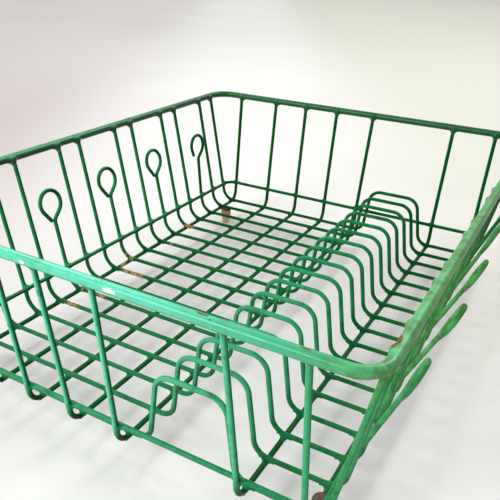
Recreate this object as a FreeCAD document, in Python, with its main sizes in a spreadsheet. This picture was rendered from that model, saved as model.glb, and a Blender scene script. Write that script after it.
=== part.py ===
"""Welded wire dish drying rack, modelled wire by wire.

Frame: millimetres, +Z up, X across the short side, Y along the long side, origin on the
table under the middle of the rack.  The right side is +X and the back is +Y.

A heavy rim wire closes the top.  Runners go front to back underneath and turn up into the
two end walls.  Plate wires lie across the runners, rise in an arch that holds the plates,
and turn up into the two side walls.  Every third plate wire stops short of the rim in an
open loop.  A lower ring ties all the wall wires together, and four moulded feet carry the
rack.
"""
import FreeCAD, Part
import Sketcher
import math
import os
import re

# Driving dimensions, in millimetres and degrees.
DIMENSIONS = {
    # wires, coated
    "wire_dia": 3.6,            # plate wires and lower ring
    "runner_dia": 3.8,          # the seven front-to-back wires
    "rim_dia": 7.0,
    "weld_bite": 0.3,           # how far two crossed wires are pressed together
    "rim_bite": 3.3,            # how far a wall wire runs into the rim's inner side
    # levels above the table
    "plate_level": 20.0,        # axis of the plate wires along the floor
    "ring_level": 40.5,
    "front_ring_level": 32.0,   # the ring dips to its front side
    "rim_level": 148.0,
    "wall_under_rim": 1.0,      # wall wires end this far below the rim's axis
    # plan
    "rim_half_width": 185.0,
    "rim_half_length": 232.0,
    "rim_front_corner": 16.0,
    "rim_back_corner": 20.0,
    "ring_corner": 11.0,
    "side_foot": 157.7,         # where a side wall meets the floor, bend ignored
    "end_foot": 213.9,          # where an end wall meets the floor, bend ignored
    "side_bend": 15.0,
    "end_bend": 12.0,
    "plate_pitch": 25.4,
    "wall_fan": 0.012,          # the side walls' wires spread apart towards the rim
    # plate arch nearest the back: corners from left to right, bends ignored
    "arch_left_base": 29.5,
    "arch_left_crown": 36.5,
    "arch_right_crown": 88.9,
    "arch_right_base": 96.5,
    "arch_rise": 50.2,
    # each arch towards the front differs from the one behind it by this much
    "left_step": 0.22,
    "right_step": 0.09,
    "rise_step": 0.37,
    "arch_base_bend": 11.5,
    "arch_crown_bend": 13.0,
    # open loops on the side walls, measured along the loop's own leaning stem
    "loop_radius": 11.8,
    "loop_centre": 49.5,        # from the start of the stem to the loop's centre
    "loop_neck": 31.0,          # from the start of the stem to the neck
    "neck_bend": 6.0,
    "tail_side": 3.8,           # the loop's free end: beside the stem, and how high
    "tail_height": 34.0,
    "back_tail_side": 9.0,      # the left-hand loop nearest the back is open wider
    "back_tail_height": 39.5,
    "stem_start": 52.0,         # level where the loop's own stem starts
    "back_loop_lean": 5.0,      # left-hand loop nearest the back stands more upright
    "lean_bend": 12.0,
    # feet
    "front_foot_step": 11.0,    # front feet are this far in front of the last but one plate wire
    "back_foot_inset": 8.4,     # back feet are this far inward from the outer runners
    "foot_height": 19.4,
    "foot_radius": 6.1,
    "foot_waist": 5.1,
    "foot_waist_level": 8.0,
    "foot_rest_radius": 3.2,
    "foot_round": 1.5,
}

# Runner places across the rack: the wide gap is spanned by the plate arches.
RUNNER_PLACES = (-149.5, -103.2, -63.5, -25.1, 15.8, 106.0, 149.5)
# How far each runner leans sideways by the time it meets the rim.
BACK_LEANS = (-2.0, 0.0, 0.0, 1.0, 4.0, 3.5, 3.5)
FRONT_LEANS = (0.0, 0.0, 1.0, -1.0, 2.5, -2.5, 1.0)
# Right-hand loops are bent out past the rim, each by its own angle.
LOOP_LEANS = {3: 22.5, 6: 22.5, 9: 24.8, 12: 25.2, 15: 22.0}
WIDEST_LOOP = 12
PLATE_WIRE_COUNT = 17
BACK_LOOP = 3
WIRES_TO_DIP = 6                # plate wires from the middle one to where the ring starts to dip
DIP_OVERLAP = 0.5               # how far the ring's dipping part starts inside its level part

# Sizes worked out from the sheet, as formulas of its cells.
RUNNER_LEVEL = "(plate_level - wire_dia / 2 - runner_dia / 2 + weld_bite)"
WALL_TOP = "(rim_level - wall_under_rim)"
SIDE_AT_RIM = "(rim_half_width - rim_dia / 2 - wire_dia / 2 + rim_bite)"
END_AT_RIM = "(rim_half_length - rim_dia / 2 - runner_dia / 2 + rim_bite)"
SIDE_SLOPE = f"(({SIDE_AT_RIM} - side_foot) / (rim_level - plate_level))"
END_SLOPE = f"(({END_AT_RIM} - end_foot) / (rim_level - {RUNNER_LEVEL}))"
WALL_LEAN = f"atan({SIDE_SLOPE})"
END_LEAN = f"atan({END_SLOPE})"


def side_at(level):
    """How far out the axis of a side wall is at a level."""
    return f"(side_foot + {SIDE_SLOPE} * ({level} - plate_level))"


def end_at(level):
    """How far out the axis of an end wall is at a level."""
    return f"(end_foot + {END_SLOPE} * ({level} - {RUNNER_LEVEL}))"


def ring_side(level):
    """How far out the axis of the ring is beside a side wall, at a level."""
    return f"({side_at(level)} - wire_dia + weld_bite)"


def ring_end(level):
    """How far out the axis of the ring is beside an end wall, at a level."""
    return f"({end_at(level)} - wire_dia / 2 - runner_dia / 2 + weld_bite)"


# The outer runners lie against the start of the side walls' bends, a little above the others.
BEND_START = f"(side_foot - side_bend * tan(45 deg - {WALL_LEAN} / 2))"
TO_RUNNER = "(side_bend + wire_dia / 2 + runner_dia / 2 - weld_bite)"
OUTER_RUNNER_LEVEL = (
    f"(plate_level + side_bend - sqrt({TO_RUNNER} ^ 2 - (runner_place_7 - {BEND_START}) ^ 2))"
)
DIP_START = f"({WIRES_TO_DIP} * plate_pitch)"
DIP_LENGTH = f"({ring_end('front_ring_level')} - {DIP_START})"
DIP_ANGLE = f"atan((ring_level - front_ring_level) / {DIP_LENGTH})"
WIDEST_LEAN = f"loop_lean_{WIDEST_LOOP}"
OUTER_STEM = f"({side_at('ring_level')} + (stem_start - ring_level) * tan({WIDEST_LEAN}))"
OUTER_REACH = f"({OUTER_STEM} + (loop_centre + loop_radius) * sin({WIDEST_LEAN}) + wire_dia / 2)"
# The outer loops reach past the rim, so the rack's box is centred by half of what they add.
FRAME_SHIFT = f"(({OUTER_REACH} - rim_half_width - rim_dia / 2) / 2)"

Vector = FreeCAD.Vector
ORIGIN_POINT = (-1, 1)
X_AXIS = -1
Y_AXIS = -2

doc = FreeCAD.newDocument("dish_rack")
sheet = doc.addObject("Spreadsheet::Sheet", "dims")


def fill_sheet():
    """Write every driving dimension into the sheet, with its name as the alias."""
    cells = dict(DIMENSIONS)
    lists = {"runner_place": RUNNER_PLACES, "back_lean": BACK_LEANS, "front_lean": FRONT_LEANS}
    for name, values in lists.items():
        for number, value in enumerate(values, 1):
            cells[f"{name}_{number}"] = value
    for number, angle in LOOP_LEANS.items():
        cells[f"loop_lean_{number}"] = angle
    for row, (name, value) in enumerate(cells.items(), 1):
        sheet.set(f"A{row}", name)
        sheet.set(f"B{row}", str(value))
        sheet.setAlias(f"B{row}", name)
    doc.recompute()


def bound(formula):
    """A formula of cell names, as an expression that FreeCAD reads from the sheet."""
    return re.sub(r"\b[a-z]+_\w+\b", lambda name: "dims." + name.group(), formula)


def size(formula):
    """The present value of a formula."""
    value = sheet.evalExpression(bound(formula))
    return float(getattr(value, "Value", value))


def new_body(label):
    body = doc.addObject("PartDesign::Body", label)
    body.Label = label
    return body


def place(body, along_x="0", along_y="0"):
    """Put a finished body at its place in the rack."""
    body.setExpression("Placement.Base.x", bound(f"{along_x} - {FRAME_SHIFT}"))
    body.setExpression("Placement.Base.y", bound(along_y))


def new_sketch(body, role, name, offset=None, lean=None):
    """A sketch on one of the body's own origin planes.

    offset holds formulas for the attachment's three base coordinates, and lean is an axis
    with the formula of the angle turned about it.
    """
    sketch = body.newObject("Sketcher::SketchObject", name)
    plane = next(item for item in body.Origin.OriginFeatures if item.Role == role)
    sketch.AttachmentSupport = [(plane, "")]
    sketch.MapMode = "FlatFace"
    if lean is not None:
        axis, angle = lean
        turn = FreeCAD.Rotation(axis, size(angle))
        sketch.AttachmentOffset = FreeCAD.Placement(Vector(), turn)
        sketch.setExpression("AttachmentOffset.Rotation.Angle", bound(angle))
    if offset is not None:
        for letter, formula in zip("xyz", offset):
            sketch.setExpression(f"AttachmentOffset.Base.{letter}", bound(formula))
    return sketch


def drive(sketch, kind, *items):
    """Add a dimension whose last item is a formula, and bind it to the sheet."""
    *where, formula = items
    number = sketch.addConstraint(Sketcher.Constraint(kind, *where, size(formula)))
    sketch.setExpression(f"Constraints[{number}]", bound(formula))


def join(sketch, kind, *items):
    sketch.addConstraint(Sketcher.Constraint(kind, *items))


def pin_point(sketch, item, point, across, up):
    """Hold a point at two formulas measured from the sketch's origin."""
    drive(sketch, "DistanceX", *ORIGIN_POINT, item, point, across)
    drive(sketch, "DistanceY", *ORIGIN_POINT, item, point, up)


def draw_wire_section(sketch, diameter, across="0", up="0"):
    circle = Part.Circle(Vector(size(across), size(up), 0), Vector(0, 0, 1), size(diameter) / 2)
    ring = sketch.addGeometry(circle, False)
    drive(sketch, "Diameter", ring, diameter)
    pin_point(sketch, ring, 3, across, up)


def add_bend(sketch, centre, start, end, leftward):
    """A round bend from start to end, with the numbers of its first and last points."""
    first, last = (start, end) if leftward else (end, start)
    first_angle = math.atan2(first.y - centre.y, first.x - centre.x)
    last_angle = math.atan2(last.y - centre.y, last.x - centre.x)
    if last_angle < first_angle:
        last_angle += 2 * math.pi
    circle = Part.Circle(centre, Vector(0, 0, 1), (start - centre).Length)
    bend = sketch.addGeometry(Part.ArcOfCircle(circle, first_angle, last_angle), False)
    return (bend, 1, 2) if leftward else (bend, 2, 1)


def draw_bent_path(sketch, corners, radii):
    """Straight runs through the corners, with a tangent arc in place of each inner corner."""
    points = [Vector(size(across), size(up), 0) for across, up in corners]
    last = len(points) - 1
    runs = []
    bends = []
    run_start = points[0]
    for at in range(1, last):
        before = (points[at - 1] - points[at]).normalize()
        after = (points[at + 1] - points[at]).normalize()
        half_angle = before.getAngle(after) / 2
        radius = size(radii[at - 1])
        bend_start = points[at] + before * (radius / math.tan(half_angle))
        bend_end = points[at] + after * (radius / math.tan(half_angle))
        centre = points[at] + (before + after).normalize() * (radius / math.sin(half_angle))
        leftward = after.cross(before).z > 0
        runs.append(sketch.addGeometry(Part.LineSegment(run_start, bend_start), False))
        bends.append(add_bend(sketch, centre, bend_start, bend_end, leftward))
        run_start = bend_end
    runs.append(sketch.addGeometry(Part.LineSegment(run_start, points[last]), False))
    pin_point(sketch, runs[0], 1, *corners[0])
    pin_point(sketch, runs[-1], 2, *corners[last])
    for at, (bend, bend_first, bend_last) in enumerate(bends):
        corner = sketch.addGeometry(Part.Point(points[at + 1]), True)
        pin_point(sketch, corner, 1, *corners[at + 1])
        join(sketch, "PointOnObject", corner, 1, runs[at])
        join(sketch, "PointOnObject", corner, 1, runs[at + 1])
        join(sketch, "Tangent", runs[at], 2, bend, bend_first)
        join(sketch, "Tangent", bend, bend_last, runs[at + 1], 1)
        drive(sketch, "Radius", bend, radii[at])


def add_pipe(body, name, section, path):
    doc.recompute()
    pipe = body.newObject("PartDesign::AdditivePipe", name)
    pipe.Profile = section
    pipe.Spine = (path, [])
    doc.recompute()
    return pipe


def make_rim():
    """The heavy top wire, bent into a closed rectangle with round corners."""
    body = new_body("rim")
    path = new_sketch(body, "XY_Plane", "rim_path", offset=("0", "0", "rim_level"))
    wide, long = size("rim_half_width"), size("rim_half_length")
    corners = ((1, -1), (1, 1), (-1, 1), (-1, -1))
    radii = ["rim_front_corner", "rim_back_corner", "rim_back_corner", "rim_front_corner"]
    centres = []
    stops = [Vector(0, -long, 0)]
    for (side_x, side_y), radius in zip(corners, radii):
        centre = Vector(side_x * (wide - size(radius)), side_y * (long - size(radius)), 0)
        near_end = Vector(centre.x, side_y * long, 0)
        near_side = Vector(side_x * wide, centre.y, 0)
        stops += [near_end, near_side] if side_x == -side_y else [near_side, near_end]
        centres.append(centre)
    stops.append(stops[0])
    runs = []
    bends = []
    for at in range(0, len(stops), 2):
        runs.append(path.addGeometry(Part.LineSegment(stops[at], stops[at + 1]), False))
    for at, centre in enumerate(centres):
        bends.append(add_bend(path, centre, stops[2 * at + 1], stops[2 * at + 2], True))
    for at, (bend, first, last) in enumerate(bends):
        join(path, "Tangent", runs[at], 2, bend, first)
        join(path, "Tangent", bend, last, runs[at + 1], 1)
        drive(path, "Radius", bend, radii[at])
    join(path, "Coincident", runs[-1], 2, runs[0], 1)
    join(path, "PointOnObject", runs[0], 1, Y_AXIS)
    join(path, "Horizontal", runs[0])
    join(path, "Horizontal", runs[-1])
    join(path, "Horizontal", runs[2])
    join(path, "Vertical", runs[1])
    drive(path, "DistanceY", runs[0], 1, *ORIGIN_POINT, "rim_half_length")
    drive(path, "DistanceY", *ORIGIN_POINT, runs[2], 1, "rim_half_length")
    join(path, "Symmetric", runs[1], 1, runs[3], 2, Y_AXIS)
    drive(path, "DistanceX", *ORIGIN_POINT, runs[1], 1, "rim_half_width")
    section = new_sketch(body, "YZ_Plane", "rim_section")
    draw_wire_section(section, "rim_dia", "-rim_half_length", "rim_level")
    add_pipe(body, "rim_pipe", section, path)
    place(body)
    return body


def make_ring():
    """The lower ring: level round the back and sides, then dipping to its front side."""
    body = new_body("lower_ring")
    wide, back = ring_side("ring_level"), ring_end("ring_level")
    path = new_sketch(body, "XY_Plane", "ring_level_path", offset=("0", "0", "ring_level"))
    corners = [(f"-{wide}", f"-{DIP_START}"), (f"-{wide}", back)]
    corners += [(wide, back), (wide, f"-{DIP_START}")]
    draw_bent_path(path, corners, ["ring_corner", "ring_corner"])
    section = new_sketch(body, "XZ_Plane", "ring_level_section", offset=("0", "0", DIP_START))
    draw_wire_section(section, "wire_dia", f"-{wide}", "ring_level")
    add_pipe(body, "ring_level_pipe", section, path)
    front_wide = ring_side("front_ring_level")
    along = f"({DIP_LENGTH} / cos({DIP_ANGLE}))"
    dip = (Vector(1, 0, 0), DIP_ANGLE)
    path = new_sketch(body, "XY_Plane", "ring_dip_path",
                      offset=("0", f"-{DIP_START}", "ring_level"), lean=dip)
    corners = [(f"-{wide}", f"{DIP_OVERLAP}"), (f"-{front_wide}", f"-{along}")]
    corners += [(front_wide, f"-{along}"), (wide, f"{DIP_OVERLAP}")]
    draw_bent_path(path, corners, ["ring_corner", "ring_corner"])
    section = new_sketch(body, "XZ_Plane", "ring_dip_section",
                         offset=("0", "ring_level", DIP_START), lean=dip)
    draw_wire_section(section, "wire_dia", f"-{wide}", "0")
    add_pipe(body, "ring_dip_pipe", section, path)
    place(body)
    return body


def leaning_sketches(body, name, wall, sign, out, level, lean):
    """Sketches for a wire's path and its section where the wire starts to run up a leaning wall.

    wall is side or end, sign is the wall's side of the rack, and out, level and lean say where
    the wire starts and how far its plane leans outward.
    """
    opposite = "" if sign else "-"
    if wall == "side":
        plane = "YZ_Plane"
        path_at = ("0", level, f"{sign}{out}")
        path_turn = (Vector(1, 0, 0), f"{sign}{lean}")
        section_at = (f"{sign}{out}", "0", level)
        section_turn = (Vector(0, 1, 0), f"{sign}{lean}")
    else:
        plane = "XZ_Plane"
        path_at = ("0", level, f"{opposite}{out}")
        path_turn = (Vector(1, 0, 0), f"{opposite}{lean}")
        section_at = ("0", f"{sign}{out}", level)
        section_turn = path_turn
    path = new_sketch(body, plane, name + "_path", offset=path_at, lean=path_turn)
    section = new_sketch(body, "XY_Plane", name + "_section", offset=section_at, lean=section_turn)
    return path, section


def add_wall_top(body, name, wall, sign, diameter, shift):
    """The straight top of a wall wire, from the ring's level into the rim.

    shift is how far the wire leans along its wall.
    """
    out = side_at("ring_level") if wall == "side" else end_at("ring_level")
    lean = WALL_LEAN if wall == "side" else END_LEAN
    length = f"(({WALL_TOP} - ring_level) / cos({lean}))"
    path, section = leaning_sketches(body, name, wall, sign, out, "ring_level", lean)
    line = path.addGeometry(Part.LineSegment(Vector(), Vector(size(shift), size(length), 0)), False)
    join(path, "Coincident", line, 1, *ORIGIN_POINT)
    pin_point(path, line, 2, shift, length)
    draw_wire_section(section, diameter)
    add_pipe(body, name, section, path)


def make_runner(number):
    """A front-to-back wire that turns up into both end walls."""
    label = f"runner_{number}"
    body = new_body(label)
    outer = number in (1, len(RUNNER_PLACES))
    level = OUTER_RUNNER_LEVEL if outer else RUNNER_LEVEL
    section = new_sketch(body, "XZ_Plane", label + "_section")
    draw_wire_section(section, "runner_dia", "0", level)
    for end, sign in (("back", ""), ("front", "-")):
        path = new_sketch(body, "YZ_Plane", f"{label}_{end}_path")
        corners = [("0", level), (f"{sign}{end_at(level)}", level)]
        corners.append((f"{sign}{end_at('ring_level')}", "ring_level"))
        draw_bent_path(path, corners, ["end_bend"])
        add_pipe(body, f"{label}_{end}", section, path)
        add_wall_top(body, f"{label}_{end}_top", "end", sign, "runner_dia", f"{end}_lean_{number}")
    place(body, along_x=f"runner_place_{number}")
    return body


def arch_corners(number):
    """The arch that holds plates upright: corners and bend radii, from left to right."""
    steps = number - 1
    crown = f"(plate_level + arch_rise + {steps} * rise_step)"
    corners = [
        (f"(arch_left_base + {steps} * left_step)", "plate_level"),
        (f"(arch_left_crown + {steps} * left_step)", crown),
        (f"(arch_right_crown + {steps} * right_step)", crown),
        (f"(arch_right_base + {steps} * right_step)", "plate_level"),
    ]
    radii = ["arch_base_bend", "arch_crown_bend", "arch_crown_bend", "arch_base_bend"]
    return corners, radii


def side_corners(sign, lean):
    """The foot of a side wall: up to the ring, or on to the start of the stem of a loop."""
    corners = [(f"{sign}side_foot", "plate_level")]
    radii = ["side_bend"]
    if lean == WALL_LEAN:
        corners.append((f"{sign}{side_at('stem_start')}", "stem_start"))
    else:
        corners.append((f"{sign}{side_at('ring_level')}", "ring_level"))
    if lean not in (None, WALL_LEAN):
        corners.append((f"{sign}{stem_place(lean)}", "stem_start"))
        radii.append("lean_bend")
    return corners, radii


def stem_place(lean):
    """How far out a loop's stem starts."""
    if lean == WALL_LEAN:
        return side_at("stem_start")
    return f"({side_at('ring_level')} + (stem_start - ring_level) * tan({lean}))"


def draw_loop(sketch, tail_side, tail_height):
    """A stem, a small bend at the neck, an almost closed loop and its free tail."""
    neck_radius, radius = size("neck_bend"), size("loop_radius")
    neck = Vector(0, size("loop_neck"), 0)
    neck_centre = neck + Vector(neck_radius, 0, 0)
    centre = Vector(0, size("loop_centre"), 0)
    tail = Vector(-size(tail_side), size(tail_height), 0)
    between = centre - neck_centre
    heading = math.atan2(between.x, between.y) + math.asin((neck_radius + radius) / between.Length)
    sideways = Vector(-math.cos(heading), math.sin(heading), 0)
    neck_end = neck_centre + sideways * neck_radius
    loop_start = centre - sideways * radius
    to_tail = tail - centre
    tail_angle = math.atan2(to_tail.y, to_tail.x) - math.acos(radius / to_tail.Length)
    tail_start = centre + Vector(math.cos(tail_angle), math.sin(tail_angle), 0) * radius
    stem = sketch.addGeometry(Part.LineSegment(Vector(), neck), False)
    neck_bend, neck_first, neck_last = add_bend(sketch, neck_centre, neck, neck_end, False)
    rise = sketch.addGeometry(Part.LineSegment(neck_end, loop_start), False)
    loop, loop_first, loop_last = add_bend(sketch, centre, loop_start, tail_start, True)
    free_end = sketch.addGeometry(Part.LineSegment(tail_start, tail), False)
    join(sketch, "Coincident", stem, 1, *ORIGIN_POINT)
    join(sketch, "Vertical", stem)
    drive(sketch, "DistanceY", stem, 1, stem, 2, "loop_neck")
    join(sketch, "Tangent", stem, 2, neck_bend, neck_first)
    join(sketch, "Tangent", neck_bend, neck_last, rise, 1)
    join(sketch, "Tangent", rise, 2, loop, loop_first)
    join(sketch, "Tangent", loop, loop_last, free_end, 1)
    drive(sketch, "Radius", neck_bend, "neck_bend")
    drive(sketch, "Radius", loop, "loop_radius")
    join(sketch, "PointOnObject", loop, 3, Y_AXIS)
    drive(sketch, "DistanceY", *ORIGIN_POINT, loop, 3, "loop_centre")
    pin_point(sketch, free_end, 2, f"-{tail_side}", tail_height)


def add_loop(body, name, sign, lean):
    """The open loop that ends one side of a plate wire, in a plane that leans outward."""
    path, section = leaning_sketches(body, name, "side", sign, stem_place(lean), "stem_start", lean)
    if lean == "back_loop_lean":
        draw_loop(path, "back_tail_side", "back_tail_height")
    else:
        draw_loop(path, "tail_side", "tail_height")
    draw_wire_section(section, "wire_dia")
    add_pipe(body, name, section, path)


def make_plate_wire(number):
    """A plate wire, counted from the back: floor, arch and side walls, perhaps with loops."""
    looped = number in LOOP_LEANS
    label = f"loop_wire_{number:02d}" if looped else f"plate_wire_{number:02d}"
    left_lean = right_lean = None
    if looped:
        left_lean = "back_loop_lean" if number == BACK_LOOP else WALL_LEAN
        right_lean = f"loop_lean_{number}"
    body = new_body(label)
    section = new_sketch(body, "YZ_Plane", label + "_section")
    draw_wire_section(section, "wire_dia", "0", "plate_level")
    left = new_sketch(body, "XZ_Plane", label + "_left_path")
    corners, radii = side_corners("-", left_lean)
    draw_bent_path(left, [("0", "plate_level")] + corners, radii)
    add_pipe(body, label + "_left", section, left)
    right = new_sketch(body, "XZ_Plane", label + "_right_path")
    arch, arch_radii = arch_corners(number)
    corners, radii = side_corners("", right_lean)
    draw_bent_path(right, [("0", "plate_level")] + arch + corners, arch_radii + radii)
    add_pipe(body, label + "_right", section, right)
    for side, sign, lean in (("left", "-", left_lean), ("right", "", right_lean)):
        if looped:
            add_loop(body, f"{label}_{side}_loop", sign, lean)
        else:
            shift = f"(wall_fan * {plate_place(number)})"
            add_wall_top(body, f"{label}_{side}_top", "side", sign, "wire_dia", shift)
    place(body, along_y=plate_place(number))
    return body


def plate_place(number):
    """Where a plate wire lies along the rack, counted from the back."""
    steps_from_middle = (PLATE_WIRE_COUNT + 1) / 2 - number
    return f"{steps_from_middle} * plate_pitch"


def make_foot(end, side):
    """A moulded foot: the front ones round the outer runners, the back ones round a plate wire."""
    label = f"foot_{end}_{side}"
    body = new_body(label)
    outline = new_sketch(body, "XZ_Plane", label + "_outline")
    step = "(foot_waist_level + foot_radius - foot_waist)"
    stops = [
        ("0", "0"),
        ("foot_rest_radius", "0"),
        ("foot_waist", "foot_round"),
        ("foot_waist", "foot_waist_level"),
        ("foot_radius", step),
        ("foot_radius", "(foot_height - foot_round)"),
        ("(foot_radius - foot_round)", "foot_height"),
        ("0", "foot_height"),
    ]
    points = [Vector(size(across), size(up), 0) for across, up in stops]
    lines = []
    for at, point in enumerate(points):
        following = points[(at + 1) % len(points)]
        lines.append(outline.addGeometry(Part.LineSegment(point, following), False))
    for at, line in enumerate(lines):
        join(outline, "Coincident", line, 2, lines[(at + 1) % len(lines)], 1)
        if at > 0:
            pin_point(outline, line, 1, *stops[at])
        else:
            join(outline, "Coincident", line, 1, *ORIGIN_POINT)
    doc.recompute()
    turned = body.newObject("PartDesign::Revolution", label + "_turned")
    turned.Profile = outline
    turned.ReferenceAxis = (outline, ["V_Axis"])
    turned.Angle = 360
    doc.recompute()
    whole = turned.Shape.Volume
    if end == "front":
        seat = new_sketch(body, "XZ_Plane", label + "_seat")
        draw_wire_section(seat, "runner_dia", "0", OUTER_RUNNER_LEVEL)
        inset = "0"
        along_y = f"({plate_place(PLATE_WIRE_COUNT - 1)} - front_foot_step)"
    else:
        seat = new_sketch(body, "YZ_Plane", label + "_seat")
        draw_wire_section(seat, "wire_dia", "0", "plate_level")
        inset = "back_foot_inset"
        along_y = plate_place(2)
    pocket = body.newObject("PartDesign::Pocket", label + "_seat_cut")
    pocket.Profile = seat
    pocket.Length = 4 * size("foot_radius")
    pocket.Midplane = True
    doc.recompute()
    if body.Shape.Volume >= whole:
        raise RuntimeError(label + " has no seat for its wire")
    if side == "left":
        place(body, along_x=f"runner_place_1 + {inset}", along_y=along_y)
    else:
        place(body, along_x=f"runner_place_{len(RUNNER_PLACES)} - {inset}", along_y=along_y)
    return body


def check(parts):
    """Stop if any object failed to recompute or any sub-part is not one good solid."""
    for item in doc.Objects:
        for fault in ("Invalid", "Error"):
            if fault in item.State:
                raise RuntimeError(f"{item.Label}: {item.State}")
        if item.isDerivedFrom("Sketcher::SketchObject") and not item.FullyConstrained:
            raise RuntimeError(f"{item.Label} is not fully constrained")
    for part in parts:
        if part.Shape.isNull() or not part.Shape.isValid() or len(part.Shape.Solids) != 1:
            raise RuntimeError(f"{part.Label} is not one valid solid")


def write(parts):
    os.makedirs("parts", exist_ok=True)
    for part in parts:
        part.Shape.exportStep(f"parts/{part.Label}.step")


fill_sheet()
parts = [
    make_rim(),
    make_ring(),
]
parts += [make_runner(number) for number in range(1, len(RUNNER_PLACES) + 1)]
parts += [make_plate_wire(number) for number in range(1, PLATE_WIRE_COUNT + 1)]
parts += [make_foot(end, side) for end in ("front", "back") for side in ("left", "right")]
doc.recompute()
check(parts)
write(parts)
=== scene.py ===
"""Looks for the dish rack: dipped green coating with fillets at every weld, chips, rust and feet.

The CAD wires stay as they are and get a material.  What dipping adds is built here as mesh: the
fillets where two wires meet, and the rounded ends of the wires.  The feet are built again, more
softly moulded.  Everything is in metres, with +Z up, +Y to the back and the origin on the table
under the rack.
"""
import math
from typing import NamedTuple

import bmesh
import bpy
import numpy as np
from mathutils import Matrix, Vector


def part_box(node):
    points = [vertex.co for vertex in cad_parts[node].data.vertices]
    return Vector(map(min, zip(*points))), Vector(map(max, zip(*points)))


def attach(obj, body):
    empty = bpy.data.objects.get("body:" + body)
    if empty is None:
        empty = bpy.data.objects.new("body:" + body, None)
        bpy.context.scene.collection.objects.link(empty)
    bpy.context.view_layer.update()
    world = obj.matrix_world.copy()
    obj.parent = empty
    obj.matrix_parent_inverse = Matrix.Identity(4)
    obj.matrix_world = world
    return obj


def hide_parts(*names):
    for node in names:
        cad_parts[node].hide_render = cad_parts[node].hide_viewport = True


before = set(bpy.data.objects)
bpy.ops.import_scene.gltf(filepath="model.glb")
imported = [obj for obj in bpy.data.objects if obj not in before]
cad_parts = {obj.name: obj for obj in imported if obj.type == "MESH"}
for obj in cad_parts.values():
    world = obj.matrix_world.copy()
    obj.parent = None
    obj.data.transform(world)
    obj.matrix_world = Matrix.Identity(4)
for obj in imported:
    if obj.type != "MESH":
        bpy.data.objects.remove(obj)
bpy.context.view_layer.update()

MM = 0.001

# Dipped coating: how wide it spreads at each kind of joint, and the size of its mesh's cells.
FLOOR_SPREAD = 3.6 * MM
RING_SPREAD = 4.4 * MM
RIM_SPREAD = 4.6 * MM
NET_STEP = 0.55 * MM
RIM_NET_STEP = 0.7 * MM
SINK = 0.02 * MM            # how far a fillet's hidden part lies under the wires' skin
MARGIN = 0.5 * MM           # how far a fillet goes on past the coating's spread

# The loops' free ends, measured from the start of the stem.
STEM_LEVEL = 52.0 * MM
TAIL = (3.8 * MM, 34.0 * MM)            # beside the stem, and up along it
OPEN_TAIL = (9.0 * MM, 39.5 * MM)
OPEN_LOOP = ("loop_wire_03", -1)        # the loop that is open wider, and its side of the rack
LOOP_CENTRE = 49.5 * MM
LOOP_RADIUS = 11.8 * MM
STEM_PROBE = (8.0 * MM, 3.0 * MM)       # the stem's lean is read this far up, and over this reach
RIM_PROBE = 1.5 * MM                    # how far under the rim a wall wire's line is read

CAMERA_PLACE = (0.2352, -0.4516, 0.3127)
CAMERA_TURN = (64.375, -1.701, 29.417)
CAMERA_LENS = 45.03

BACKWARD = Vector((0, 1, 0))

# What tells the parts of a bent wire apart.
FLOOR_TOP = 30 * MM         # a wire's floor part lies below this
WALL_START = 120 * MM       # its wall parts are farther than this from the middle


# ---------------------------------------------------------------- places read from the frame

def middle(node, axis):
    low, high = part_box(node)
    return (low[axis] + high[axis]) / 2


def named(*starts):
    return sorted(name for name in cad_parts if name.startswith(starts))


PLATE_WIRES = named("plate_wire", "loop_wire")
LOOP_WIRES = named("loop_wire")
RUNNERS = named("runner")
FEET = named("foot")
RIM_R = (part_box("rim")[1].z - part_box("rim")[0].z) / 2
RIM_Z = middle("rim", 2)
WIRE_EDGES = {}


def wire_edges(node):
    """The two ends of every edge of a wire's mesh."""
    if node not in WIRE_EDGES:
        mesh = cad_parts[node].data
        points = np.empty(len(mesh.vertices) * 3)
        mesh.vertices.foreach_get("co", points)
        ends = np.empty(len(mesh.edges) * 2, dtype=int)
        mesh.edges.foreach_get("vertices", ends)
        WIRE_EDGES[node] = points.reshape(-1, 3)[ends.reshape(-1, 2)]
    return WIRE_EDGES[node]


def slice_box(node, axis, level, keep):
    """The box round a wire's cut by a plane, among the cut's points that keep accepts."""
    edges = wire_edges(node)
    start, end = edges[:, 0], edges[:, 1]
    rise = end[:, axis] - start[:, axis]
    share = (level - start[:, axis]) / np.where(rise == 0, 1, rise)
    crossed = (rise != 0) & (share >= 0) & (share <= 1)
    points = start[crossed] + (end - start)[crossed] * share[crossed][:, None]
    points = points[keep(points)]
    return points.min(0), points.max(0)


def slice_middle(node, axis, level, keep):
    """Where a wire's centre crosses a plane."""
    low, high = slice_box(node, axis, level, keep)
    return Vector((low + high) / 2)


def wire_radius(node, axis, level, keep):
    """Half a wire's thickness, to a tenth of a millimetre, from a plane that cuts it squarely."""
    low, high = slice_box(node, axis, level, keep)
    return round(max(high - low) / 2, 4)


def wire_line(node, axis, level, keep, step=1.0 * MM):
    """A point on a wire's centre line and the line's direction there."""
    before = slice_middle(node, axis, level - step, keep)
    after = slice_middle(node, axis, level + step, keep)
    return (before + after) / 2, (after - before).normalized()


def on_floor(points):
    return points[:, 2] < FLOOR_TOP


def beyond(axis, side):
    """Accepts points on one side of the rack."""
    return lambda points: points[:, axis] * side > WALL_START


PLATE_R = wire_radius("plate_wire_08", 0, 0.0, on_floor)
RUNNER_R = wire_radius("runner_4", 1, 5 * MM, on_floor)
RING_R = wire_radius("lower_ring", 0, 0.0, beyond(1, 1))
RING_Z = slice_middle("lower_ring", 0, 0.0, beyond(1, 1)).z


# ---------------------------------------------------------------- mesh from a distance field

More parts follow.
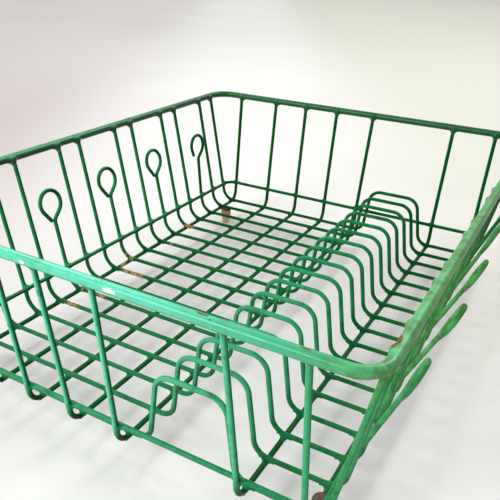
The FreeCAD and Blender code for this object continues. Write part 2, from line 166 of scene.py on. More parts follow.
def surface_net(field, low, high, step):
    """Quads along the zero surface of a field, one corner in each grid cell that it crosses."""
    axes = [np.arange(a, b + step, step) for a, b in zip(low, high)]
    grid = np.stack(np.meshgrid(*axes, indexing="ij"), -1)
    value = field(grid)
    inside = value < 0
    cells = tuple(n - 1 for n in value.shape)
    total = np.zeros(cells + (3,))
    count = np.zeros(cells)
    corners = [(i, j, k) for i in (0, 1) for j in (0, 1) for k in (0, 1)]

    def corner(array, at):
        return array[at[0]:at[0] + cells[0], at[1]:at[1] + cells[1], at[2]:at[2] + cells[2]]

    for start in corners:
        for axis in range(3):
            if start[axis]:
                continue
            end = tuple(1 if n == axis else start[n] for n in range(3))
            a, b = corner(value, start), corner(value, end)
            crossed = corner(inside, start) != corner(inside, end)
            share = np.where(crossed, a / np.where(crossed, a - b, 1), 0)[..., None]
            point = corner(grid, start) * (1 - share) + corner(grid, end) * share
            total += np.where(crossed[..., None], point, 0)
            count += crossed
    used = count > 0
    number = np.full(cells, -1)
    number[used] = np.arange(used.sum())
    points = settle(field, total[used] / count[used][:, None], step)
    faces = []
    for axis in range(3):
        u, v = (axis + 1) % 3, (axis + 2) % 3
        ahead = np.roll(inside, -1, axis)
        crossed = inside != ahead
        for n in (u, v):
            crossed[(slice(None),) * n + (0,)] = False
        for n in range(3):
            crossed[(slice(None),) * n + (-1,)] = False
        at = np.argwhere(crossed)
        step_u, step_v = np.eye(3, dtype=int)[u], np.eye(3, dtype=int)[v]
        ring = [at - step_u - step_v, at - step_v, at, at - step_u]
        quad = np.stack([number[tuple(cell.T)] for cell in ring], 1)
        outward = inside[tuple(at.T)]
        quad[~outward] = quad[~outward][:, ::-1]
        faces.append(quad)
    return points, np.concatenate(faces)


def settle(field, points, step, rounds=3):
    """Move points onto the zero surface, along the field's slope, unless a sharp edge is near."""
    tiny = step * 0.05
    settled = points
    for _ in range(rounds):
        slope = np.stack([
            (field(settled + tiny * axis) - field(settled - tiny * axis)) / (2 * tiny)
            for axis in np.eye(3)
        ], 1)
        length = np.maximum((slope ** 2).sum(1), 0.25)
        settled = settled - slope * (field(settled) / length)[:, None]
    moved = np.sqrt(((settled - points) ** 2).sum(1))
    good = (np.abs(field(settled)) < 0.01 * step) & (moved < 0.3 * step)
    return np.where(good[:, None], settled, points)


def smooth_union(a, b, spread):
    """The nearer of two distances, with a fillet of that spread between them."""
    near = np.maximum(spread - np.abs(a - b), 0)
    return np.minimum(a, b) - near ** 2 / (4 * spread)


def weld_shape(radius_a, radius_b, gap, spread, step):
    """Coating at a crossing: wire a along x, and wire b along y and a gap above it."""
    reach = spread + max(radius_a, radius_b) + MARGIN

    def field(p):
        x, y, z = p[..., 0], p[..., 1], p[..., 2]
        wire_a = np.sqrt(y ** 2 + z ** 2) - radius_a
        wire_b = np.sqrt(x ** 2 + (z - gap) ** 2) - radius_b
        joined = smooth_union(wire_a, wire_b, spread) + SINK
        ball = np.sqrt(x ** 2 + y ** 2 + (z - gap / 2) ** 2) - reach
        return np.maximum(joined, ball)

    low = (-reach - step, -reach - step, gap / 2 - reach - step)
    high = (reach + step, reach + step, gap / 2 + reach + step)
    return surface_net(field, low, high, step)


def rim_web_shape(radius, gap, end, lean_side):
    """Coating where a wall wire runs up y and ends inside the rim, which lies along x.

    The web fills only the rim's lower inner side, and it is wider on the side of the wire
    that lean_side points to.
    """
    reach = RIM_SPREAD + RIM_R + MARGIN

    def field(p):
        x, y, z = p[..., 0], p[..., 1], p[..., 2]
        rim = np.sqrt(y ** 2 + z ** 2) - RIM_R
        wire = np.sqrt(x ** 2 + (z - gap) ** 2 + np.maximum(y - end, 0) ** 2) - radius
        below = np.clip((z - 1.3 * y) / RIM_R * 0.8 + 0.1, 0, 1)
        skew = 1 + 0.4 * lean_side * np.tanh(x / (3 * MM))
        spread = np.maximum(RIM_SPREAD * skew * below ** 2 * (3 - 2 * below), 0.01 * MM)
        ball = np.sqrt(x ** 2 + y ** 2 + z ** 2) - reach
        return np.maximum(smooth_union(rim, wire, spread) + SINK, ball)

    size = reach + RIM_NET_STEP
    return surface_net(field, (-size, -size, -size), (size, size, size), RIM_NET_STEP)


def tip_shape(radius, step):
    """A rounded cap along z for the free end of a wire, with a short stub inside the wire."""
    stub = 1.5 * MM

    def field(p):
        x, y, z = p[..., 0], p[..., 1], p[..., 2]
        along = np.maximum(z, 0)
        return np.maximum(np.sqrt(x ** 2 + y ** 2 + along ** 2) - radius + SINK, -z - stub)

    size = radius + step
    return surface_net(field, (-size, -size, -stub - step), (size, size, size), step)


def frame_of(along_a, along_b, out, place):
    """A placement whose x, y and z run along a, along b and outward."""
    turn = Matrix([along_a, along_b, out]).transposed().to_4x4()
    return Matrix.Translation(place) @ turn


def weld_frame(line_a, line_b):
    """Where two wires pass closest: a frame at wire a, and the gap to wire b along its z.

    The frame's x runs along wire a and its y along wire b, so it is a little skewed where the
    wires don't cross squarely.
    """
    (point_a, way_a), (point_b, way_b) = line_a, line_b
    across = way_a.cross(way_b).normalized()
    gap = (point_b - point_a).dot(across)
    if gap < 0:
        across, gap = -across, -gap
    between = point_b - point_a - across * gap
    turn = way_a.dot(way_b)
    along_a = (between.dot(way_a) - turn * between.dot(way_b)) / (1 - turn ** 2)
    place = point_a + way_a * along_a
    if way_a.dot(way_b.cross(across)) < 0:
        way_a = -way_a
    return frame_of(way_a, way_b, across, place), gap


def gather(name, copies, material):
    """One piece made of many placed copies of given shapes, riding on the rack."""
    points, faces, count = [], [], 0
    for (shape_points, shape_faces), place in copies:
        turn = np.array(place)
        points.append(shape_points @ turn[:3, :3].T + turn[:3, 3])
        if np.linalg.det(turn[:3, :3]) < 0:
            shape_faces = shape_faces[:, ::-1]
        faces.append(shape_faces + count)
        count += len(shape_points)
    mesh = bpy.data.meshes.new(name)
    mesh.from_pydata(np.concatenate(points).tolist(), [], np.concatenate(faces).tolist())
    mesh.polygons.foreach_set("use_smooth", [True] * len(mesh.polygons))
    mesh.materials.append(material)
    piece = bpy.data.objects.new(name, mesh)
    bpy.context.scene.collection.objects.link(piece)
    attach(piece, "root")
    return piece


# ---------------------------------------------------------------- coating at the welds

def radius_of(wire):
    return RUNNER_R if wire in RUNNERS else PLATE_R


def floor_fillets(material):
    """Plate wires over runners."""
    copies = []
    shape = None
    for runner in RUNNERS:
        for wire in PLATE_WIRES:
            line_a = wire_line(runner, 1, wire_y(wire), on_floor)
            line_b = wire_line(wire, 0, line_a[0].x, on_floor)
            place, gap = weld_frame(line_a, line_b)
            if shape is None:
                shape = weld_shape(RUNNER_R, PLATE_R, gap, FLOOR_SPREAD, NET_STEP)
            copies.append((shape, place))
    return gather("coating_floor_fillets", copies, material)


def wire_y(wire):
    """Where a plate wire lies along the rack."""
    return slice_middle(wire, 0, 0.0, on_floor).y


def wall_wires():
    """Every wall wire: its name, the axis that its wall faces and its side of the rack."""
    for wire in PLATE_WIRES:
        for side in (-1, 1):
            yield wire, 0, side
    for runner in RUNNERS:
        for side in (-1, 1):
            yield runner, 1, side


def closed_wire_line(closed, axis, side, place):
    """The line of the rim or the ring where a wall wire at a place meets it."""
    along = 1 - axis
    return wire_line(closed, along, place[along], beyond(axis, side))


def ring_fillets(material):
    """The lower ring lies inside the wall wires."""
    copies = []
    shapes = {}
    for wire, axis, side in wall_wires():
        near = slice_middle(wire, 2, RING_Z, beyond(axis, side))
        line_a = closed_wire_line("lower_ring", axis, side, near)
        line_b = wire_line(wire, 2, line_a[0].z, beyond(axis, side))
        place, gap = weld_frame(line_a, line_b)
        radius = radius_of(wire)
        if radius not in shapes:
            shapes[radius] = weld_shape(RING_R, radius, gap, RING_SPREAD, NET_STEP)
        copies.append((shapes[radius], place))
    return gather("coating_ring_fillets", copies, material)


def rim_fillets(material):
    """Wall wires end in the rim's inner side."""
    copies = []
    shapes = {}
    level = RIM_Z - RIM_R - RIM_PROBE
    for wire, axis, side in wall_wires():
        if wire in LOOP_WIRES:
            continue
        line_b = wire_line(wire, 2, level, beyond(axis, side))
        line_a = closed_wire_line("rim", axis, side, line_b[0])
        place, gap = weld_frame(line_a, line_b)
        kind = (axis, side)
        if kind not in shapes:
            along, up, inward = (place.col[n].to_3d() for n in range(3))
            nearest = place.translation + inward * gap
            end = (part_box(wire)[1].z - nearest.z) / up.z
            lean_side = -round(along.y)
            shapes[kind] = rim_web_shape(radius_of(wire), gap, end, lean_side)
        copies.append((shapes[kind], place))
    return gather("coating_rim_fillets", copies, material)


def tail_heading(side, height):
    """The direction of a loop's free end in the loop's own plane: along the rack, and up."""
    to_tail = Vector((-side, height - LOOP_CENTRE))
    angle = math.atan2(to_tail.y, to_tail.x) - math.acos(LOOP_RADIUS / to_tail.length)
    tangent = Vector((math.cos(angle), math.sin(angle))) * LOOP_RADIUS
    return (to_tail - tangent).normalized()


def loop_tips(material):
    """The loops' free ends are rounded."""
    shape = tip_shape(PLATE_R, NET_STEP)
    above, half_span = STEM_PROBE
    copies = []
    for wire in LOOP_WIRES:
        for side in (-1, 1):
            tail_side, tail_height = OPEN_TAIL if (wire, side) == OPEN_LOOP else TAIL
            heading = tail_heading(tail_side, tail_height)
            start, up = wire_line(wire, 2, STEM_LEVEL + above, beyond(0, side), half_span)
            start = start - up * (start.z - STEM_LEVEL) / up.z
            end = start + BACKWARD * -tail_side + up * tail_height
            way = BACKWARD * heading.x + up * heading.y
            sideways = up.cross(BACKWARD).normalized()
            copies.append((shape, frame_of(sideways.cross(way) * -1, sideways, way, end)))
    return gather("coating_loop_tips", copies, material)


# ---------------------------------------------------------------- feet

def make_foot(node, material):
    """A moulded foot, turned from a softly rounded outline inside its CAD solid."""
    low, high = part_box(node)
    centre = (low + high) / 2
    radius = (high.x - low.x) / 2
    height = high.z - low.z
    outline = [
        (0.0, 0.0), (0.42, 0.0), (0.62, 0.02), (0.78, 0.07), (0.83, 0.16), (0.83, 0.3), (0.83, 0.4),
        (0.87, 0.44), (0.95, 0.47), (0.995, 0.53), (1.0, 0.62), (1.0, 0.76), (0.985, 0.86),
        (0.93, 0.93), (0.8, 0.975), (0.55, 0.995), (0.0, 1.0),
    ]
    segments = 48
    points, faces = [], []
    for across, up in outline:
        for n in range(segments):
            angle = 2 * math.pi * n / segments
            reach = radius * across * 0.995
            points.append((centre.x + reach * math.cos(angle), centre.y + reach * math.sin(angle),
                           low.z + height * up))
    for row in range(len(outline) - 1):
        for n in range(segments):
            after = (n + 1) % segments
            a, b = row * segments + n, row * segments + after
            faces.append((a, b, b + segments, a + segments))
    piece = add_mesh("moulded_" + node, points, faces, material)
    solid = bmesh.new()
    solid.from_mesh(piece.data)
    bmesh.ops.remove_doubles(solid, verts=solid.verts, dist=1e-7)
    bmesh.ops.dissolve_degenerate(solid, dist=1e-8, edges=solid.edges)
    bmesh.ops.recalc_face_normals(solid, faces=solid.faces)
    solid.to_mesh(piece.data)
    solid.free()
    piece.data.polygons.foreach_set("use_smooth", [True] * len(piece.data.polygons))
    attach(piece, "root")
    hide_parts(node)


# ---------------------------------------------------------------- materials

class Shader:
    """Builds one material from small named steps."""

    def __init__(self, name):
        self.material = bpy.data.materials.new(name)
        self.material.use_nodes = True
        self.tree = self.material.node_tree
        self.tree.nodes.clear()
        self.surface = self.tree.nodes.new("ShaderNodeBsdfPrincipled")
        output = self.tree.nodes.new("ShaderNodeOutputMaterial")
        self.tree.links.new(self.surface.outputs[0], output.inputs[0])
        self.where = self.tree.nodes.new("ShaderNodeTexCoord").outputs["Object"]
        self.facing = self.tree.nodes.new("ShaderNodeTexCoord").outputs["Normal"]

    def feed(self, socket, value):
        if isinstance(value, bpy.types.NodeSocket):
            self.tree.links.new(value, socket)
        else:
            socket.default_value = value

    def math(self, operation, a, b=0.0):
        made = self.tree.nodes.new("ShaderNodeMath")
        made.operation = operation
        self.feed(made.inputs[0], a)
        self.feed(made.inputs[1], b)
        return made.outputs[0]

    def plus(self, a, b):
        return self.math("ADD", a, b)

    def minus(self, a, b):
        return self.math("SUBTRACT", a, b)

    def times(self, a, b):
        return self.math("MULTIPLY", a, b)

    def most(self, a, b):
        return self.math("MAXIMUM", a, b)

    def part(self, vector, axis):
        made = self.tree.nodes.new("ShaderNodeSeparateXYZ")
        self.feed(made.inputs[0], vector)
        return made.outputs[axis]

    def along(self, vector, way):
        """How far a direction agrees with a fixed one, from -1 to 1."""
        made = self.tree.nodes.new("ShaderNodeVectorMath")
        made.operation = "DOT_PRODUCT"
        self.feed(made.inputs[0], vector)
        made.inputs[1].default_value = way
        return made.outputs["Value"]

    def noise(self, scale, detail=3.0, roughness=0.55, offset=(0, 0, 0), stretch=(1, 1, 1)):
        """Even noise through the object, from 0 to 1, with features about 1 / scale metres wide."""
        moved = self.tree.nodes.new("ShaderNodeMapping")
        self.feed(moved.inputs["Vector"], self.where)
        moved.inputs["Location"].default_value = offset
        moved.inputs["Scale"].default_value = stretch
        made = self.tree.nodes.new("ShaderNodeTexNoise")
        self.feed(made.inputs["Vector"], moved.outputs[0])
        made.inputs["Scale"].default_value = scale
        made.inputs["Detail"].default_value = detail
        made.inputs["Roughness"].default_value = roughness
        return made.outputs[0]

    def ramp(self, value, low, high, start=0.0, end=1.0):
        """A smooth step from start to end while the value goes from low to high."""
        made = self.tree.nodes.new("ShaderNodeMapRange")
        made.interpolation_type = "SMOOTHSTEP"
        for socket, number in zip(made.inputs[:5], (value, low, high, start, end)):
            self.feed(socket, number)
        return made.outputs[0]

    def blend(self, share, a, b):
        made = self.tree.nodes.new("ShaderNodeMix")
        made.data_type = "RGBA"
        colours = [socket for socket in made.inputs if socket.type == "RGBA"]
        self.feed(made.inputs["Factor"], share)
        for socket, colour in zip(colours, (a, b)):
            self.feed(socket, colour if isinstance(colour, bpy.types.NodeSocket) else (*colour, 1))
        return next(socket for socket in made.outputs if socket.type == "RGBA")

    def spots(self, places):
        """Ragged spots at given places, each with a size and how it's stretched."""
        found = 0.0
        for place, size, stretch in places:
            offset = self.tree.nodes.new("ShaderNodeMapping")
            self.feed(offset.inputs["Vector"], self.where)
            offset.inputs["Scale"].default_value = stretch
            offset.inputs["Location"].default_value = [-a * b for a, b in zip(place, stretch)]
            length = self.tree.nodes.new("ShaderNodeVectorMath")
            length.operation = "LENGTH"
            self.feed(length.inputs[0], offset.outputs[0])
            ragged = self.times(self.noise(300, 4.0, 0.65), size * 1.1)
            away = self.plus(length.outputs["Value"], ragged)
            spot = self.ramp(away, size * 1.5, size * 1.25)
            found = self.most(found, spot)
        return found

    def bump(self, height, distance, strength):
        made = self.tree.nodes.new("ShaderNodeBump")
        self.feed(made.inputs["Height"], height)
        made.inputs["Distance"].default_value = distance
        made.inputs["Strength"].default_value = strength
        self.feed(self.surface.inputs["Normal"], made.outputs[0])


# Linear colours of the coating, with painted light and shade: painted shade at the back, painted light
# towards the front, and PALE_MINT for the painted highlight on the lit sides.
DEEP_GREEN = (0.0, 0.066, 0.006)
MIDDLE_GREEN = (0.0, 0.132, 0.022)
MINT = (0.032, 0.41, 0.170)
PALE_MINT = (0.20, 0.76, 0.50)
TURQUOISE = (0.12, 0.72, 0.50)          # painted highlight on the lit side of the rim's front
LEAF_GREEN = (0.055, 0.26, 0.028)       # the right side
# painted light on the lit sides of the right side
LIT_LEAF_GREEN = (0.130, 0.52, 0.170)
# olive blotches on the right, and painted shade on the right wall
OLIVE = (0.022, 0.095, 0.008)
INNER_WALL_SHADE = (0.035, 0.060, 0.004)     # painted shade on the inner side of the right wall
FLOOR_SHADE_GREEN = (0.0, 0.080, 0.006)        # painted shade down at the floor
STAIN_AND_SHADE_GREEN = (0.0, 0.012, 0.0)         # dark stains, and painted shade on the undersides

# Wear, and white spots on the rim.
GRIME = (0.026, 0.034, 0.003)
PIT = (0.001, 0.006, 0.001)
RUST = (0.10, 0.05, 0.02)
BARE_TAN = (0.46, 0.33, 0.17)
BARE_BROWN = (0.16, 0.115, 0.012)
SPOT_WHITE = (0.92, 0.97, 0.95)

# The feet and the paper.
PALE_TAN = (0.64, 0.52, 0.30)
ORANGE_TAN = (0.46, 0.27, 0.12)
TOP_BROWN = (0.055, 0.018, 0.008)
STAIN_BROWN = (0.16, 0.07, 0.025)
PAPER_GREY = (0.78, 0.78, 0.765)
PAPER_WHITE = (0.82, 0.82, 0.805)
# painted shade on the paper's left, tinted faintly rose
PAPER_ROSE_SHADE = (0.51, 0.465, 0.46)
PAPER_CREAM = (0.68, 0.685, 0.60)

# Light and reflections.
WHITE = (1.0, 1.0, 1.0)
WARM_WHITE = (1.0, 0.985, 0.96)
COOL_WHITE = (0.97, 1.0, 1.0)
GREEN_SHEEN = (0.10, 0.80, 0.34)
PALE_SHEEN = (0.8, 1.0, 0.95)

LIT_WAY = (-0.28, -0.68, 0.68)          # painted light comes from this way: wire sides facing it get lit colours, sides facing away painted shade
ACROSS = (0.87, 0.49, 0)                # the way from the paper's rose side to its cream side

# Where the coating changes.  Each pair is the start and end of a smooth step, in metres.
BACK_TO_MIDDLE = (-0.16, 0.06)          # forward of the rack's middle, where the painted shade at the back fades
# painted light grows towards the front
MIDDLE_TO_FRONT = (0.04, 0.27)
OUT_OF_FRONT_WALL = (-0.228, -0.205)    # along y; less painted light behind the front wall
LEFT_CORNER = (-0.13, -0.17)            # along x; painted shade in the left corner behind the front wall
BEHIND_LEFT_CORNER = (-0.222, -0.20)    # along y
TO_RIGHT_SIDE = (0.11, 0.165)           # along x
# along x; the right wall, where painted shade is added
TO_RIGHT_WALL = (0.184, 0.192)
TO_RIGHT_FRONT = (-0.08, -0.20)         # along y
BELOW_RIM = (0.135, 0.10)               # along z
# painted shade below this height, at the floor
ABOVE_FLOOR = (22 * MM, 42 * MM)

# How much longer a chip or scuff is along one axis than across it.
ROUND = (1, 1, 1)
LONG_X = (0.28, 1, 1)
LONG_Y = (1, 0.45, 1)


def chip_places():
    """Where the coating has chipped off: a place, a size and a shape, by wire and place along it."""
    runner_1 = middle("runner_1", 0)
    chips = []
    for wire, from_runner, level, size, shape in (
        ("plate_wire_05", 5 * MM, 0, 3.4 * MM, LONG_X),
        ("plate_wire_07", 17 * MM, 0, 3.4 * MM, ROUND),
        ("loop_wire_09", -12 * MM, 6 * MM, 5.5 * MM, ROUND),
        ("loop_wire_09", -5 * MM, 2 * MM, 4.0 * MM, ROUND),
        ("loop_wire_09", 3 * MM, 1 * MM, 3.6 * MM, ROUND),
        ("plate_wire_10", 22 * MM, 0, 3.6 * MM, LONG_X),
        ("plate_wire_10", 33 * MM, 0, 2.8 * MM, LONG_X),
        ("loop_wire_12", 7 * MM, 0, 3.0 * MM, ROUND),
        ("loop_wire_12", 30 * MM, 0, 3.0 * MM, LONG_X),
        ("plate_wire_13", 18 * MM, 0, 3.4 * MM, LONG_X),
    ):
        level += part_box(wire)[0].z + 1.6 * MM
        chips.append(((runner_1 + from_runner, wire_y(wire), level), size, shape))
    halfway = (wire_y("loop_wire_09") + wire_y("plate_wire_10")) / 2
    chips.append(((runner_1, halfway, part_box("runner_1")[0].z + 2 * MM), 4 * MM, LONG_Y))
    return chips


def rim_chip_places():
    """Where the rim's coating has chipped off: on the left, in the right corner and in front."""
    low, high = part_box("rim")
    front, left, right = low.y + RIM_R, low.x + RIM_R, high.x - RIM_R
    return [
        ((left, 0.05, RIM_Z + 3 * MM), 3 * MM, LONG_Y),
        ((right - 2.5 * MM, -0.203, RIM_Z + 2 * MM), 3.2 * MM, LONG_Y),
        ((0.090, front, RIM_Z + 3.4 * MM), 1.2 * MM, LONG_X),
        ((0.146, front, RIM_Z + 3.4 * MM), 0.8 * MM, LONG_X),
    ]


def rim_white_spot_places():
    """White spots on the front of the rim."""
    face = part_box("rim")[0].y + 0.3 * MM
    return [
        ((0.033, face, RIM_Z + 0.6 * MM), 1.5 * MM, LONG_X),
        ((-0.031, face, RIM_Z + 0.2 * MM), 1.3 * MM, (0.5, 1, 1)),
    ]


class Look(NamedTuple):
    """What differs between the coatings of the wires."""
    chips: list                     # each a place, a size and a stretch
    white_spots: list | tuple = ()
    lumps: float = 0.5              # how uneven the coating is
    floor_light: float = 0.5        # share of the painted light that is left down at the floor, under painted shade
    inside_light: float = 0.4       # share of the painted front light that is left behind the front wall
    top_loss: float = 0.85          # how much less painted highlight the upward sides get
    right_wall_shade: float = 0.6        # how much painted shade, in olive, the right wall gets
    stains: float = 1.0
    gloss: tuple = (0.22, 0.36)     # range of roughness
    shine: float = 0.16             # reflectivity
    sheen: tuple = GREEN_SHEEN
    # the colour of the painted highlight on the lit sides
    palest: tuple = PALE_MINT
    bare: tuple = BARE_TAN


def coating_green(shader, look):
    """The coating's greens, with painted light and shade: painted light towards the front and on the
    sides facing LIT_WAY, leafy on the right, and painted shade underneath, at the floor and on the
    right wall.
    """
    x, y, z = (shader.part(shader.where, axis) for axis in range(3))
    up = shader.part(shader.facing, 2)
    lit = shader.along(shader.facing, LIT_WAY)
    mottle = shader.noise(70, 5.0, 0.62)

    # Painted light and shade: dark at the back, lighter towards the front, less so behind the front
    # wall and in its left corner.
    drift = shader.times(shader.noise(9, 2.0), 0.12)
    forward = shader.plus(shader.times(y, -1.0), drift)
    to_middle = shader.ramp(forward, *BACK_TO_MIDDLE)
    shaded = shader.times(shader.ramp(x, *LEFT_CORNER), shader.ramp(y, *BEHIND_LEFT_CORNER))
    to_front = shader.times(shader.ramp(forward, *MIDDLE_TO_FRONT),
                            shader.minus(1.0, shader.times(shaded, 0.75)))
    to_front = shader.times(to_front, shader.ramp(y, *OUT_OF_FRONT_WALL, 1.0, look.inside_light))
    # Painted shade at the floor: less painted light there.
    above_floor = shader.ramp(z, *ABOVE_FLOOR, look.floor_light, 1.0)

    # The green side starts a little farther right in the front wall.
    shifted = shader.plus(x, shader.ramp(y, *OUT_OF_FRONT_WALL, -0.02, 0.0))
    rightward = shader.times(shader.ramp(shifted, *TO_RIGHT_SIDE), to_middle)
    greyed = shader.times(shader.ramp(y, *TO_RIGHT_FRONT), shader.ramp(z, *BELOW_RIM))
    rightward = shader.times(rightward, shader.minus(1.0, shader.times(greyed, 0.7)))

    green = shader.blend(to_middle, DEEP_GREEN, MIDDLE_GREEN)
    green = shader.blend(shader.times(to_front, 0.85), green, MINT)
    green = shader.blend(shader.times(rightward, 0.9), green, LEAF_GREEN)

    # Painted light: the sides facing LIT_WAY get a lit, mottled copy of the green.
    lighter = shader.blend(shader.times(to_middle, 0.8), MIDDLE_GREEN, MINT)
    lighter = shader.blend(rightward, lighter, LIT_LEAF_GREEN)
    light_share = shader.times(shader.ramp(mottle, 0.3, 0.7, 0.25, 0.8),
                               shader.ramp(lit, -0.15, 0.75))
    green = shader.blend(shader.times(light_share, above_floor), green, lighter)

    # Painted highlight in the palest colour on the sides facing LIT_WAY, towards the front.
    palest = shader.minus(shader.ramp(lit, 0.0, 0.7), shader.ramp(up, 0.45, 0.75, 0.0, look.top_loss))
    palest = shader.most(palest, shader.ramp(lit, 0.84, 0.97))
    palest = shader.times(palest, shader.ramp(mottle, 0.15, 0.5))
    palest = shader.times(palest, shader.times(to_front, above_floor))
    palest = shader.times(palest, shader.ramp(x, 0.16, 0.03, 0.12, 0.9))
    green = shader.blend(palest, green, look.palest)
    # Painted shade down at the floor.
    green = shader.blend(shader.minus(1.0, above_floor), green, FLOOR_SHADE_GREEN)

    streaks = shader.noise(160, 3.0, 0.6, (0.3, 0.1, 0.7))
    green = shader.blend(shader.ramp(streaks, 0.56, 0.74, 0.0, 0.45 * look.stains), green, STAIN_AND_SHADE_GREEN)
    # Painted shade on the sides facing away from LIT_WAY.
    green = shader.blend(shader.ramp(lit, 0.22, -0.38, 0.0, 0.95), green, STAIN_AND_SHADE_GREEN)

    blotches = shader.ramp(shader.noise(110, 5.0, 0.7), 0.42, 0.62)
    weathered = shader.times(rightward, blotches)
    green = shader.blend(shader.times(weathered, 0.55), green, OLIVE)
    # Painted shade on the inner side of the right wall.
    inward = shader.ramp(shader.part(shader.facing, 0), 0.25, -0.25)
    inward = shader.times(inward, shader.ramp(x, *TO_RIGHT_WALL))
    green = shader.blend(shader.times(inward, 0.85), green, INNER_WALL_SHADE)
    # Painted shade over the right wall, in olive.
    return shader.blend(shader.ramp(x, *TO_RIGHT_WALL, 0.0, look.right_wall_shade), green, OLIVE)


def coating_material(name, look):
    """Dipped green plastic: pitted and stained, with chips down to the rusty wire."""
    shader = Shader(name)
    green = coating_green(shader, look)
    pits = shader.ramp(shader.noise(330, 4.0, 0.7, (0.9, 0.2, 0.4)), 0.655, 0.70)
    green = shader.blend(shader.times(pits, 0.8), green, PIT)
    patches = shader.noise(38, 4.0, 0.65, (0.2, 0.5, 0.1))
    green = shader.blend(shader.ramp(patches, 0.58, 0.76, 0.0, 0.6 * look.stains), green, GRIME)
    bare = shader.spots(look.chips)
    wire = shader.blend(shader.ramp(shader.noise(420, 4.0), 0.46, 0.62), look.bare, RUST)
    colour = shader.blend(bare, green, wire)
    colour = shader.blend(shader.spots(look.white_spots), colour, SPOT_WHITE)
    shader.feed(shader.surface.inputs["Base Color"], colour)
    rough = shader.ramp(shader.noise(120, 4.0), 0.3, 0.7, *look.gloss)
    shader.feed(shader.surface.inputs["Roughness"], shader.most(rough, shader.times(bare, 0.8)))
    shader.surface.inputs["Specular IOR Level"].default_value = look.shine
    shader.surface.inputs["Specular Tint"].default_value = (*look.sheen, 1)
    peel = shader.times(shader.noise(520, 3.0), 0.3 * look.lumps)
    swell = shader.times(shader.noise(95, 3.0), look.lumps)
    relief = shader.plus(peel, swell)
    relief = shader.minus(relief, shader.times(bare, 0.5))
    relief = shader.minus(relief, shader.times(pits, 0.3))
    shader.bump(relief, 0.6 * MM, 0.8)
    return shader.material


def foot_material():
    """Aged moulded plastic: dark at the top, orange-brown below it, paler tan at the base, partly its
    own tan and partly painted light.
    """
    shader = Shader("foot_plastic")
    z = shader.part(shader.where, 2)
    level = shader.plus(z, shader.times(shader.noise(240, 3.0), 4 * MM))
    # The paler tan at the base is partly painted light.
    colour = shader.blend(shader.ramp(level, 7 * MM, 16 * MM), PALE_TAN, ORANGE_TAN)
    colour = shader.blend(shader.ramp(level, 17.0 * MM, 19.5 * MM, 0.0, 0.95), colour, TOP_BROWN)
    blotch = shader.ramp(shader.noise(420, 5.0, 0.65), 0.5, 0.74, 0.0, 0.45)
    colour = shader.blend(blotch, colour, STAIN_BROWN)
    shader.feed(shader.surface.inputs["Base Color"], colour)
    shader.feed(shader.surface.inputs["Roughness"], shader.ramp(shader.noise(200), 0.3, 0.7, 0.4, 0.62))
    shader.surface.inputs["Subsurface Weight"].default_value = 0.08
    shader.surface.inputs["Subsurface Radius"].default_value = (0.003, 0.0015, 0.0008)
    shader.bump(shader.noise(700, 3.0), 0.3 * MM, 0.5)
    return shader.material


def paper_material():
    """Pale studio paper: painted shade with a faint rose tint on the left, faintly cream on the right.
    """
    shader = Shader("paper")
    across = shader.along(shader.where, ACROSS)
    y = shader.part(shader.where, 1)
    cloud = shader.ramp(shader.noise(2.2, 3.0), 0.3, 0.7)
    paper = shader.blend(cloud, PAPER_GREY, PAPER_WHITE)
    # Painted shade, tinted faintly rose, on the left near the rack.
    rose = shader.times(shader.ramp(across, -0.1, -0.5), shader.ramp(y, -0.35, 0.0))
    rose = shader.times(rose, shader.ramp(y, 1.4, 0.2, 0.42, 1.0))
    paper = shader.blend(rose, paper, PAPER_ROSE_SHADE)
    paper = shader.blend(shader.ramp(across, 0.05, 0.4, 0.0, 0.8), paper, PAPER_CREAM)
    shader.feed(shader.surface.inputs["Base Color"], paper)
    shader.surface.inputs["Roughness"].default_value = 0.85
    shader.surface.inputs["Specular IOR Level"].default_value = 0.2
    return shader.material


# ---------------------------------------------------------------- stage, light and camera

def add_mesh(name, points, faces, material):
    mesh = bpy.data.meshes.new(name)
    mesh.from_pydata(points, [], faces)
    mesh.materials.append(material)
    thing = bpy.data.objects.new(name, mesh)
    bpy.context.scene.collection.objects.link(thing)
    return thing


def make_floor():
    """Plain pale paper, far wider than the rack."""
    size = 6.0
    corners = [(-size, -size, 0), (size, -size, 0), (size, size, 0), (-size, size, 0)]
    add_mesh("floor", corners, [(0, 1, 2, 3)], paper_material())


def add_light(name, place, target, size, power, colour):
    """A rectangular lamp, of a width and a height in metres and a power in watts."""
    data = bpy.data.lights.new(name, "AREA")
    data.shape = "RECTANGLE"
    data.size, data.size_y = size
    data.energy = power
    data.color = colour
    light = bpy.data.objects.new(name, data)
    light.location = place
    light.rotation_euler = (Vector(target) - Vector(place)).to_track_quat("-Z", "Y").to_euler()
    bpy.context.scene.collection.objects.link(light)


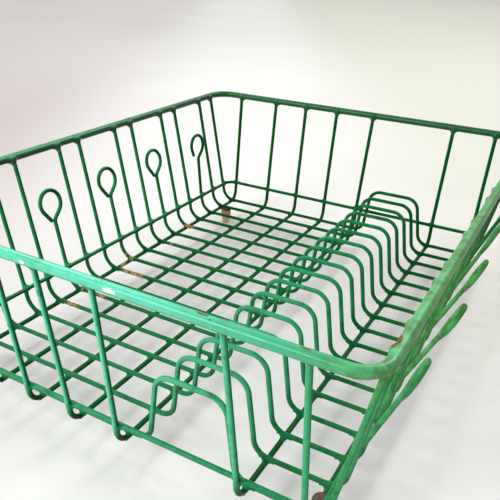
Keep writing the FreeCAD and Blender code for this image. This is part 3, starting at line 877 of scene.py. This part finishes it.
def make_lights():
    """Soft lamps behind, before and beside the rack, one for the far paper, and a pale surround."""
    rack = (0, 0, 0.05)
    front_rim = (-0.1, -0.232, 0.148)
    far_paper = (-1.2, 3.2, 0)
    add_light("back_lamp", (0.7, 1.7, 2.2), rack, (1.0, 1.0), 23, WARM_WHITE)
    add_light("front_lamp", (-0.7, -1.5, 1.1), rack, (0.7, 0.5), 19, COOL_WHITE)
    add_light("side_lamp", (-1.25, 0.35, 1.35), front_rim, (0.55, 0.3), 7, WHITE)
    add_light("far_lamp", (-1.4, 3.6, 3.4), far_paper, (7.0, 3.0), 85, WHITE)
    world = bpy.data.worlds.new("studio")
    world.use_nodes = True
    surround = world.node_tree.nodes["Background"]
    surround.inputs["Color"].default_value = (*WARM_WHITE, 1)
    surround.inputs["Strength"].default_value = 0.54
    bpy.context.scene.world = world


def make_camera():
    data = bpy.data.cameras.new("camera")
    data.lens = CAMERA_LENS
    data.sensor_width = 36
    data.clip_start = 0.01
    camera = bpy.data.objects.new("camera", data)
    camera.location = CAMERA_PLACE
    camera.rotation_euler = [math.radians(angle) for angle in CAMERA_TURN]
    bpy.context.scene.collection.objects.link(camera)
    bpy.context.scene.camera = camera


# ---------------------------------------------------------------- the scene

make_camera()
make_lights()
make_floor()
bpy.context.scene.view_settings.view_transform = "Standard"
wire_coating = coating_material("green_coating", Look(chip_places()))
# The runners and the ring get the same coating with more painted shade down at the floor.
runner_coating = coating_material("green_runner_coating", Look(chip_places(), floor_light=0.06))
rim_look = Look(
    chips=rim_chip_places(), white_spots=rim_white_spot_places(), lumps=0.16, inside_light=1.0, top_loss=0.0,
    right_wall_shade=0.3, stains=0.4, gloss=(0.27, 0.38), shine=0.45, sheen=PALE_SHEEN,
    palest=TURQUOISE, bare=BARE_BROWN,
)
rim_coating = coating_material("green_rim_coating", rim_look)
coatings = {name: runner_coating for name in RUNNERS + ["lower_ring"]}
coatings["rim"] = rim_coating
foot_plastic = foot_material()
for name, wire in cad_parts.items():
    wire.data.materials.clear()
    if name in FEET:
        wire.data.materials.append(foot_plastic)
        make_foot(name, foot_plastic)
        continue
    wire.data.materials.append(coatings.get(name, wire_coating))
    wire.data.polygons.foreach_set("use_smooth", [True] * len(wire.data.polygons))
floor_fillets(wire_coating)
ring_fillets(wire_coating)
rim_fillets(rim_coating)
loop_tips(wire_coating)
